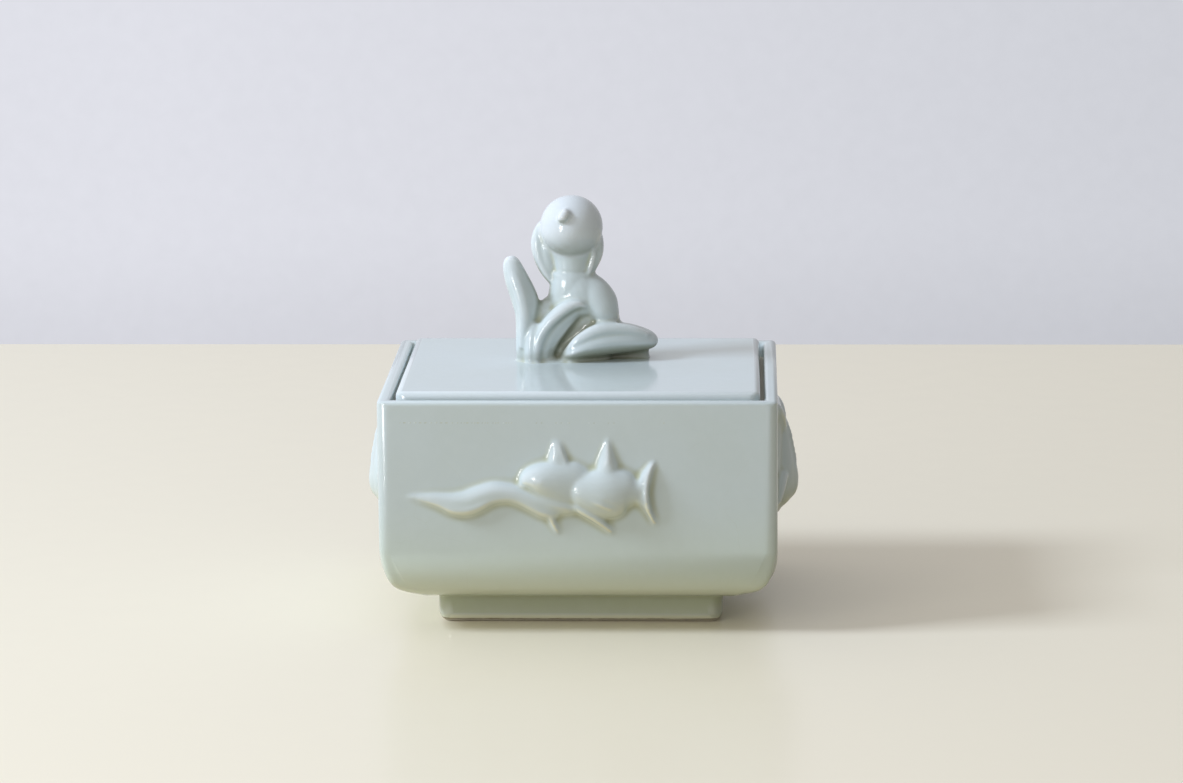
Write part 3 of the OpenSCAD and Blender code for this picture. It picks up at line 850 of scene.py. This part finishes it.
def wallPanel(name, place, forms, wallAt):  # forms melted into a strip of the front wall
    left, right, low, high = place["region"]
    over = 2 * place["slabOver"]
    slab = addBlock("slab", (right - left + over, place["slab"], high - low + over),
                    ((left + right) / 2, wallAt + place["slab"] / 2, (low + high) / 2))
    pieces = []
    for key, rows in forms.items():
        pieces.append(growForm(key, [[x, wallAt + sunk, place["middle"] + z, w, h + sunk]
                                     for x, z, w, h, sunk in rows]))
    pieces.append(slab)
    panel = meltForms(pieces, name, place["voxel"], place["fillet"], place["softness"])
    cutAway(panel, (left, 0, 0), (-1, 0, 0))
    cutAway(panel, (right, 0, 0), (1, 0, 0))
    cutAway(panel, (0, 0, low), (0, 0, -1))
    cutAway(panel, (0, 0, high), (0, 0, 1))
    startEdit(panel)
    pickFaces(panel, lambda middle, normal, area: middle.y > wallAt + 0.5)
    bpy.ops.mesh.delete(type="FACE")
    endEdit()
    for vertex in panel.data.vertices:  # the border lies exactly in the wall
        x, y, z = vertex.co / mm
        toBorder = min(abs(x - left), abs(x - right), abs(z - low), abs(z - high))
        if toBorder < place["border"] or y > wallAt:
            vertex.co.y = wallAt * mm
    return panel


def makeBox():
    b = box
    high = b["rim"] - b["underside"]
    obj = addBlock("celadonBox", (b["width"], b["depth"], high), (0, 0, b["underside"] + high / 2))
    startEdit(obj)
    pickFaces(obj, lambda middle, normal, area: normal.z > 0.9)
    bpy.ops.mesh.inset(thickness=b["wall"] * mm)
    bpy.ops.mesh.extrude_region_move(
        TRANSFORM_OT_translate={"value": (0, 0, (b["underside"] + b["floor"] - b["rim"]) * mm)})
    endEdit()
    halfWidth, halfDepth = b["width"] / 2, b["depth"] / 2
    outside = halfWidth - 0.1
    widest = b["bottomRound"]
    floorAt = b["underside"] + b["floor"]
    weighEdges(obj, 1.0, lambda p, q: max(p.z, q.z) < b["underside"] + 0.1)
    weighEdges(obj, b["edgeRound"] / widest, lambda p, q: upright(p, q) and abs(p.x) > outside)
    weighEdges(obj, b["innerRound"] / widest, lambda p, q: upright(p, q) and abs(p.x) < outside)
    weighEdges(obj, b["rimRound"] / widest, lambda p, q: min(p.z, q.z) > b["rim"] - 0.1
               and (abs(p.x) > outside) == (abs(q.x) > outside))
    weighEdges(obj, (widest - b["wall"]) / widest,
               lambda p, q: abs(p.z - floorAt) < 0.1 and abs(q.z - floorAt) < 0.1)
    bevelWeighed(obj, widest, b["segments"], b["bottomProfile"])
    insetFlats(obj, *b["flats"])

    front = wallPanel("frontPanel", relief, reliefForms, -halfDepth)
    back = copyTurned(front, "backPanel", Matrix.Rotation(math.pi, 4, "Z"))
    right = wallPanel("lugPanel", lug, lugForms, -halfWidth)
    right.data.transform(Matrix.Rotation(math.pi / 2, 4, "Z"))
    left = copyTurned(right, "leftPanel", Matrix.Scale(-1, 4, (1, 0, 0)))
    startEdit(obj)
    pickFaces(obj, lambda middle, normal, area: area > 2000 and abs(normal.z) < 0.1
              and (abs(middle.x) > halfWidth - 0.1 or abs(middle.y) > halfDepth - 0.1))
    bpy.ops.mesh.delete(type="FACE")
    endEdit()
    obj = joinAll([obj, front, back, right, left], "celadonBox")
    # wall faces between each panel and the frame
    for axis, at in ((1, -halfDepth), (1, halfDepth), (0, halfWidth), (0, -halfWidth)):
        startEdit(obj, mode="EDGE")
        bpy.ops.mesh.select_non_manifold(extend=False, use_wire=False, use_boundary=True,
                                         use_multi_face=False, use_non_contiguous=False, use_verts=False)
        mesh = bmesh.from_edit_mesh(obj.data)
        for edge in mesh.edges:
            if edge.select and not all(abs(v.co[axis] / mm - at) < 0.01 for v in edge.verts):
                edge.select_set(False)
        bmesh.update_edit_mesh(obj.data)
        bpy.ops.mesh.fill(use_beauty=False)
        endEdit()
    startEdit(obj, action="SELECT")
    bpy.ops.mesh.normals_make_consistent(inside=False)
    endEdit()
    return obj


celadonBox = makeBox()
shadeSmooth(celadonBox)
measureHollows(celadonBox, *box["hollows"], box["calmBelow"])
boxGlaze = makeGlaze("celadonBoxGlaze", lowFrom=box["lowFrom"])
dress(celadonBox, boxGlaze)
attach(celadonBox, "box")
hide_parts("box_shell", "front_stream", "front_far_fish", "front_near_fish",
            "back_stream", "back_far_fish", "back_near_fish", "left_lug", "right_lug")
print("celadonBox:", len(celadonBox.data.polygons), "faces")


# foot

foot = {
    "width": 79.5,
    "depth": 57.5,
    "height": 8.8,
    "land": 5,
    "edgeRound": 2.6,
    "cornerRound": 4,
    "innerEdge": 0.8,
    "flare": 1.4,  # glaze gathers where the foot meets the box
    "flareRings": (2.4, 1.6, 1.0, 0.5),  # below the top
    "flareBand": 4.2,
    "segments": 8,
    "flats": (60, 0.3),
    "hollows": (6, 0.2),
    "bareBelow": 1.1,
    "lowFrom": (20, 60),
    # olive pool colour mixed into the foot's low glaze: thicker glaze, and painted shade under the box
    "thickGlazeAndShade": 0.7,
}


def makeFoot():
    f = foot
    obj = addBlock("footRing", (f["width"], f["depth"], f["height"]), (0, 0, f["height"] / 2))
    startEdit(obj)
    pickFaces(obj, lambda middle, normal, area: abs(normal.z) > 0.9)
    bpy.ops.mesh.inset(thickness=(f["land"] + f["edgeRound"]) * mm, use_individual=True)
    bpy.ops.mesh.delete(type="FACE")
    bpy.ops.mesh.select_mode(type="EDGE")
    pickEdges(obj, lambda p, q: max(abs(p.x), abs(q.x)) < f["width"] / 2 - 1 and abs(p.z - q.z) < 0.1)
    bpy.ops.mesh.bridge_edge_loops()
    endEdit()
    outside = f["width"] / 2 - 0.1
    widest = f["cornerRound"]
    weighEdges(obj, 1.0, upright)
    weighEdges(obj, f["edgeRound"] / widest,
               lambda p, q: max(p.z, q.z) < 0.1 and abs(p.x) > outside and abs(q.x) > outside)
    weighEdges(obj, f["innerEdge"] / widest,
               lambda p, q: max(p.z, q.z) < 0.1 and abs(p.x) < outside and abs(q.x) < outside)
    bevelWeighed(obj, widest, f["segments"])
    startEdit(obj)
    for down in f["flareRings"]:
        bpy.ops.mesh.select_all(action="SELECT")
        bpy.ops.mesh.bisect(plane_co=(0, 0, (f["height"] - down) * mm), plane_no=(0, 0, 1))
    tall, band = f["flareRings"][0], f["flareBand"]
    mesh = bmesh.from_edit_mesh(obj.data)
    for vertex in mesh.verts:  # the hollow curve under the box
        rise = vertex.co.z / mm - (f["height"] - tall)
        outer = (abs(vertex.co.x) / mm > f["width"] / 2 - band
                 or abs(vertex.co.y) / mm > f["depth"] / 2 - band)
        if rise > 0 and outer:
            spread = f["flare"] * (1 - math.sqrt(max(0, 1 - (rise / tall) ** 2))) * mm
            vertex.co.x += math.copysign(spread, vertex.co.x)
            vertex.co.y += math.copysign(spread, vertex.co.y)
    bmesh.update_edit_mesh(obj.data)
    endEdit()
    insetFlats(obj, *f["flats"])
    return obj


footRing = makeFoot()
shadeSmooth(footRing)
measureHollows(footRing, *foot["hollows"])
footGlaze = makeGlaze("celadonFootGlaze", foot["bareBelow"], lowFrom=foot["lowFrom"], burntAndContactShadow=True,
                      thickGlazeAndShade=foot["thickGlazeAndShade"])
dress(footRing, footGlaze)
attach(footRing, "box")
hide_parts("foot_ring")
print("footRing:", len(footRing.data.polygons), "faces")


# seat for the lid

seat = {
    "top": 62,
    "height": 5.5,
    "width": 3.2,
    "slope": 3.3,
    "buried": 0.3,
    "cornerRound": 1.8,
    "edgeRound": 0.63,
    "segments": 6,
    "flats": (40, 0.2),
}


def makeSeat():
    s = seat
    openWidth = box["width"] - 2 * box["wall"] + 2 * s["buried"]
    openDepth = box["depth"] - 2 * box["wall"] + 2 * s["buried"]
    obj = addBlock("lidSeat", (openWidth, openDepth, s["height"]), (0, 0, s["top"] - s["height"] / 2))
    startEdit(obj)
    pickFaces(obj, lambda middle, normal, area: abs(normal.z) > 0.9)
    bpy.ops.mesh.inset(thickness=(s["width"] + s["buried"]) * mm, use_individual=True)
    bpy.ops.mesh.delete(type="FACE")
    bpy.ops.mesh.select_mode(type="EDGE")
    inner = openWidth / 2 - 1
    pickEdges(obj, lambda p, q: max(abs(p.x), abs(q.x)) < inner and max(p.z, q.z) < s["top"] - 1)
    bpy.ops.transform.translate(value=(0, 0, s["slope"] * mm))
    pickEdges(obj, lambda p, q: max(abs(p.x), abs(q.x)) < inner)
    bpy.ops.mesh.bridge_edge_loops()
    endEdit()
    widest = s["cornerRound"]
    weighEdges(obj, 1.0, lambda p, q: upright(p, q) and abs(abs(p.x) - abs(q.x)) < 0.1)
    weighEdges(obj, s["edgeRound"] / widest,
               lambda p, q: max(abs(p.x), abs(q.x)) < inner and abs(p.z - q.z) < 0.1)
    bevelWeighed(obj, widest, s["segments"])
    insetFlats(obj, *s["flats"])
    startEdit(obj, action="SELECT")
    bpy.ops.mesh.normals_make_consistent(inside=False)
    endEdit()
    return obj


lidSeat = makeSeat()
shadeSmooth(lidSeat)
bareClay = makeBareClay("bareClay")
dress(lidSeat, bareClay)
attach(lidSeat, "box")
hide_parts("lid_seat")
print("lidSeat:", len(lidSeat.data.polygons), "faces")


# lid

lid = {
    "width": 100.3,
    "depth": 78.3,
    "top": 68,
    "thickness": 6,
    "edgeRound": 1.5,
    "cornerRound": 3.2,
    "lowerRound": 0.6,
    "segments": 8,
    "flats": ((100, 0.5), (3000, 1.5)),
    "hollows": (6, 0.2),
    "bareBelow": 0.5,  # above its underside
}


def makeLid():
    d = lid
    obj = addBlock("lidPlate", (d["width"], d["depth"], d["thickness"]),
                   (0, 0, d["top"] - d["thickness"] / 2))
    widest = d["cornerRound"]
    weighEdges(obj, 1.0, upright)
    weighEdges(obj, d["edgeRound"] / widest, lambda p, q: min(p.z, q.z) > d["top"] - 0.1)
    weighEdges(obj, d["lowerRound"] / widest, lambda p, q: max(p.z, q.z) < d["top"] - d["thickness"] + 0.1)
    bevelWeighed(obj, widest, d["segments"])
    for smallest, border in d["flats"]:
        insetFlats(obj, smallest, border)
    return obj


lidPlate = makeLid()
shadeSmooth(lidPlate)
measureHollows(lidPlate, *lid["hollows"])
lidGlaze = makeGlaze("celadonLidGlaze", lid["top"] - lid["thickness"] + lid["bareBelow"])
dress(lidPlate, lidGlaze)
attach(lidPlate, "lid")
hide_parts("lid_plate")
print("lidPlate:", len(lidPlate.data.polygons), "faces")


# knob: a bud on a stem between leaves, built up from rolls of clay

knob = {
    "back": 8,  # behind the middle of the lid
    "voxel": 0.29,
    "fillet": 0.55,
    "softness": 8,
    "skin": (60, 32, 3),  # the lid's face, with which the forms melt
    "skinTop": -0.32,
    "cutAt": -0.25,
    "budAcross": -3.15,
    "budUp": 38.2,
    "budRadius": 8.9,
    "hollows": (26, 0.22),
    "shelter": (9, 20),  # how far a form shelters its neighbours, and how many rays are tried
    # the knob's stronger pale edges: thin glaze, and a painted highlight on its forms
    "paleEdgeAndHighlight": 0.85,
}

# knob rows: x, y from the knob's middle, z from the lid face, half width, half depth
knobForms = {
    "padLeft": [
        [-18.8, -2.0, -0.5, 1.2, 1.6], [-16.6, -2.2, -0.5, 1.6, 3.4], [-11.0, -2.2, -0.5, 1.7, 4.6],
        [-5.0, -1.6, -0.5, 1.7, 4.8], [0.0, -0.6, -0.5, 1.6, 4.0],
    ],
    "padRight": [
        [-6.0, 3.2, 0.2, 2.0, 1.8], [-2.0, 3.4, 0.4, 2.8, 2.6], [5.0, 3.4, 0.4, 3.0, 3.2],
        [11.0, 3.1, 0.4, 2.9, 3.2], [16.0, 2.8, 0.4, 2.8, 2.9], [17.9, 2.6, 0.4, 2.5, 2.4],
        [18.6, 2.5, 0.4, 1.7, 1.6],
    ],
    "stem": [
        [-3.6, 2.8, -0.6, 7.4, 3.2], [-3.7, 2.6, 4.0, 7.4, 3.4], [-3.8, 2.0, 8.4, 7.3, 4.0],
        [-3.8, 1.0, 12.4, 7.0, 4.8], [-3.7, 0.4, 17.0, 6.5, 5.1], [-3.3, 0.1, 21.0, 6.2, 5.2],
        [-3.1, 0.2, 23.6, 6.0, 5.0], [-3.0, 0.3, 25.4, 5.7, 4.6], [-3.0, 0.4, 27.0, 4.4, 3.8],
    ],
    "torso": [
        [0.4, 0.9, 12.0, 7.0, 3.8], [0.3, 0.4, 13.4, 8.7, 4.8], [0.0, 0.0, 15.4, 8.9, 5.4],
        [-0.9, -0.1, 18.2, 8.0, 5.5], [-1.9, 0.0, 21.0, 6.9, 5.3], [-2.7, 0.3, 24.0, 5.7, 4.7],
    ],
    "hip": [
        [6.0, 0.2, 10.6, 2.8, 3.6], [6.2, -0.3, 12.0, 4.1, 4.9], [5.5, -0.4, 14.2, 4.8, 5.4],
        [4.6, -0.4, 16.2, 5.3, 5.4], [2.7, -0.3, 18.6, 5.4, 5.2], [0.6, 0.0, 20.8, 4.9, 4.8],
        [-1.2, 0.2, 22.8, 4.2, 4.3], [-2.4, 0.4, 24.6, 3.2, 3.6],
    ],
    "hipCore": [
        [3.0, 3.4, 1.0, 4.8, 3.4], [4.2, 2.6, 6.0, 5.2, 4.4], [5.6, 1.6, 10.0, 5.0, 4.7],
        [5.8, 1.2, 12.8, 4.4, 4.6],
    ],
    "valley": [
        [-6.2, 0.4, -0.5, 3.6, 3.0], [-5.4, 0.2, 3.0, 4.0, 3.2], [-3.2, 0.1, 6.5, 4.4, 3.4],
        [-0.2, 0.0, 9.6, 4.6, 3.7], [2.4, 0.0, 11.8, 4.4, 4.0], [4.0, 0.2, 13.6, 3.0, 3.6],
    ],
    "calyx": [
        [-3.0, 0.4, 25.2, 4.6, 4.2], [-3.0, 0.4, 26.2, 5.5, 4.8], [-3.1, 0.4, 28.0, 5.7, 4.9],
        [-3.1, 0.5, 30.0, 6.3, 5.2], [-3.1, 0.4, 32.0, 7.0, 5.6], [-3.1, 0.2, 34.0, 7.2, 5.7],
    ],
    "calyxLip": [
        [-11.37, -0.97, 34.54, 0.35, 1.0], [-10.43, -1.22, 32.91, 0.6, 1.0],
        [-8.44, -1.53, 30.92, 0.62, 1.0], [-5.02, -1.77, 29.4, 0.62, 1.0], [-1.28, -1.77, 29.4, 0.62, 1.0],
        [2.14, -1.53, 30.92, 0.62, 1.0], [4.13, -1.22, 32.91, 0.6, 1.0], [5.07, -0.97, 34.54, 0.35, 1.0],
    ],
    "neckRoll": [
        [-8.2, -1.9, 24.9, 0.5, 0.8], [-6.4, -3.0, 24.6, 0.7, 0.9], [-3.0, -3.6, 24.6, 0.7, 0.9],
        [0.4, -3.0, 24.7, 0.7, 0.9], [2.2, -1.9, 25.0, 0.5, 0.8],
    ],
    "leftSepalRim": [
        [-10.4, 1.6, 40.0, 0.8, 1.2], [-12.0, 1.0, 37.6, 1.5, 1.9], [-12.8, 0.4, 33.8, 2.0, 2.3],
        [-12.2, 0.0, 29.8, 2.0, 2.3], [-10.8, -0.4, 26.0, 1.7, 2.1], [-9.2, -0.7, 23.2, 1.2, 1.7],
        [-8.3, -0.8, 21.6, 0.8, 1.2],
    ],
    "leftSepalBack": [
        [-9.0, 2.0, 40.2, 1.8, 2.2], [-10.0, 1.4, 36.0, 2.8, 3.2], [-10.2, 1.0, 31.0, 2.9, 3.4],
        [-9.2, 0.8, 26.4, 2.5, 3.2], [-7.9, 0.8, 23.2, 1.8, 2.5],
    ],
    "rightSepalRim": [
        [4.0, 1.6, 37.6, 0.8, 1.2], [4.7, 0.8, 34.6, 1.1, 1.7], [4.7, 0.3, 31.4, 1.2, 1.9],
        [3.6, -0.2, 28.0, 1.2, 1.8], [2.2, -0.6, 25.4, 1.1, 1.6], [1.4, -0.8, 23.6, 0.8, 1.2],
    ],
    "rightSepalInner": [
        [3.3, -1.2, 33.6, 0.5, 0.8], [3.3, -1.9, 31.2, 0.7, 1.2], [2.8, -2.1, 28.4, 0.7, 1.2],
        [2.1, -2.3, 26.2, 0.7, 1.1], [1.6, -2.5, 24.6, 0.4, 0.9],
    ],
    "rightSepalBack": [
        [3.2, 3.0, 38.0, 1.4, 1.8], [3.8, 2.8, 34.0, 2.0, 2.9], [3.5, 2.6, 30.0, 2.2, 3.2],
        [2.1, 2.2, 26.4, 1.9, 2.8], [0.8, 1.8, 23.6, 1.3, 2.2],
    ],
    "uprightLeaf": [
        [-16.7, -2.0, -0.6, 2.4, 2.9], [-16.7, -2.2, 5.6, 2.5, 3.1], [-16.2, -2.3, 10.4, 3.0, 3.3],
        [-15.9, -2.3, 13.5, 3.5, 3.5], [-16.2, -2.2, 16.5, 3.9, 3.6], [-17.2, -2.0, 19.5, 3.8, 3.6],
        [-18.6, -1.9, 22.9, 3.5, 3.4], [-19.7, -1.7, 26.0, 3.0, 3.0], [-20.3, -1.6, 28.0, 2.5, 2.4],
        [-20.7, -1.5, 29.3, 1.7, 1.7], [-20.9, -1.5, 29.9, 0.8, 0.8],
    ],
    "uprightRidge": [
        [-20.3, -3.2, 27.6, 1.2, 0.9], [-19.4, -4.0, 24.6, 1.8, 1.3], [-18.0, -4.5, 21.0, 2.1, 1.5],
        [-16.8, -4.8, 17.0, 2.1, 1.6], [-16.3, -4.8, 13.0, 2.0, 1.6], [-16.4, -4.6, 9.0, 1.9, 1.5],
        [-16.6, -4.2, 4.0, 1.8, 1.4],
    ],
    "web": [
        [-11.6, -1.2, -0.5, 3.6, 4.0], [-11.3, -1.3, 6.0, 3.6, 4.0], [-10.9, -1.0, 10.6, 3.6, 3.8],
        [-10.4, -0.6, 14.0, 3.0, 3.3], [-10.0, -0.2, 16.2, 2.0, 2.4], [-9.6, 0.2, 17.4, 1.1, 1.2],
    ],
    "webHeel": [
        [-14.7, -4.0, -0.5, 2.2, 3.0], [-14.6, -4.2, 4.0, 2.2, 2.9], [-14.3, -4.1, 8.0, 2.0, 2.7],
        [-13.7, -3.5, 11.4, 1.5, 2.2],
    ],
    "foldedRim": [
        [-13.2, -4.3, -0.6, 2.0, 2.8], [-13.0, -4.6, 3.9, 2.0, 2.8], [-11.9, -4.7, 7.7, 2.1, 2.8],
        [-9.9, -4.8, 10.8, 2.1, 2.8], [-7.5, -4.9, 13.4, 2.1, 2.8], [-4.9, -4.9, 15.4, 2.1, 2.7],
        [-2.5, -4.8, 16.6, 1.9, 2.4], [-0.5, -4.6, 16.7, 1.5, 2.1], [1.0, -4.3, 15.8, 0.9, 1.4],
    ],
    "foldedFace": [
        [-11.6, -3.4, -0.6, 2.6, 2.6], [-10.9, -3.5, 3.4, 2.6, 2.6], [-9.0, -3.5, 7.6, 2.6, 2.6],
        [-6.4, -3.4, 11.0, 2.6, 2.5], [-3.6, -3.4, 13.6, 2.4, 2.3], [-1.2, -3.3, 15.2, 1.8, 2.0],
        [0.4, -3.2, 15.8, 1.1, 1.4],
    ],
    "foldedRib": [
        [-10.2, -3.0, -0.6, 1.5, 2.3], [-9.5, -3.1, 2.6, 1.6, 2.3], [-7.8, -3.2, 6.3, 1.7, 2.3],
        [-5.1, -3.2, 10.0, 1.7, 2.2], [-2.4, -3.1, 13.0, 1.5, 1.9], [-0.2, -3.0, 14.9, 1.1, 1.5],
        [0.9, -3.0, 15.6, 0.6, 0.9],
    ],
    "lowLeaf": [
        [-5.5, -3.0, 0.8, 1.4, 2.2], [-4.4, -3.2, 1.8, 2.1, 3.6], [-2.2, -2.8, 3.1, 2.8, 4.9],
        [1.2, -2.0, 4.6, 3.8, 5.8], [5.2, -1.1, 5.7, 4.6, 6.3], [9.6, -0.4, 6.1, 4.5, 6.2],
        [14.0, 0.2, 5.9, 3.9, 5.7], [17.4, 0.5, 5.5, 3.1, 4.6], [19.5, 0.6, 5.1, 2.4, 3.3],
        [20.7, 0.7, 4.9, 1.5, 1.9], [21.2, 0.7, 4.8, 0.7, 0.9],
    ],
    "lowLeafCrest": [
        [-5.1, -5.0, 2.4, 0.9, 0.9], [-3.3, -5.8, 4.2, 1.4, 1.2], [-0.5, -6.2, 6.7, 1.9, 1.4],
        [4.4, -5.7, 9.1, 2.2, 1.7], [10.0, -4.6, 9.3, 2.0, 1.7], [15.0, -3.4, 8.3, 1.7, 1.5],
        [18.4, -2.2, 7.0, 1.2, 1.2],
    ],
}


budTip = [
    [-6.1, -8.0, 41.0, 0.8, 0.9], [-5.7, -8.2, 41.6, 1.35, 1.4], [-5.0, -8.2, 42.5, 1.5, 1.5],
    [-4.3, -7.8, 43.6, 1.35, 1.4], [-3.9, -7.5, 44.2, 0.8, 0.9],
]

budSpot = (knob["budAcross"], knob["back"], lid["top"] + knob["budUp"])


def onLid(rows):
    return [[x, y + knob["back"], z + lid["top"], w, h] for x, y, z, w, h in rows]


def makeKnob():
    k = knob
    base = lid["top"]
    forms = [growForm(key, onLid(rows)) for key, rows in knobForms.items()]
    forms.append(addBall("bud", budSpot, k["budRadius"]))
    forms.append(growForm("budTip", onLid(budTip), sides=20))
    forms.append(addBlock("lidSkin", k["skin"], (0, k["back"], base + k["skinTop"] - k["skin"][2] / 2)))
    obj = meltForms(forms, "knob", k["voxel"], k["fillet"], k["softness"])
    cutAway(obj, (0, 0, base + k["cutAt"]), (0, 0, -1), fill=True)
    return obj


knobPiece = makeKnob()
shadeSmooth(knobPiece)
measureHollows(knobPiece, *knob["hollows"])
# shelter sets where shade is painted into the knob's glaze
measureShelter(knobPiece, *knob["shelter"])
# on the knob, faces that look down get painted shade instead of painted table bounce
knobGlaze = makeGlaze("celadonKnobGlaze", paleBall=(budSpot, knob["budRadius"]), under="shadeColour",
                      paleEdgeAndHighlight=knob["paleEdgeAndHighlight"])
dress(knobPiece, knobGlaze)
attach(knobPiece, "lid")
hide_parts("knob_pad", "stem", "calyx", "bud", "bud_tip", "left_sepal", "right_sepal",
            "upright_leaf", "folded_leaf", "low_leaf")
print("knob:", len(knobPiece.data.polygons), "faces")


clearSelection()
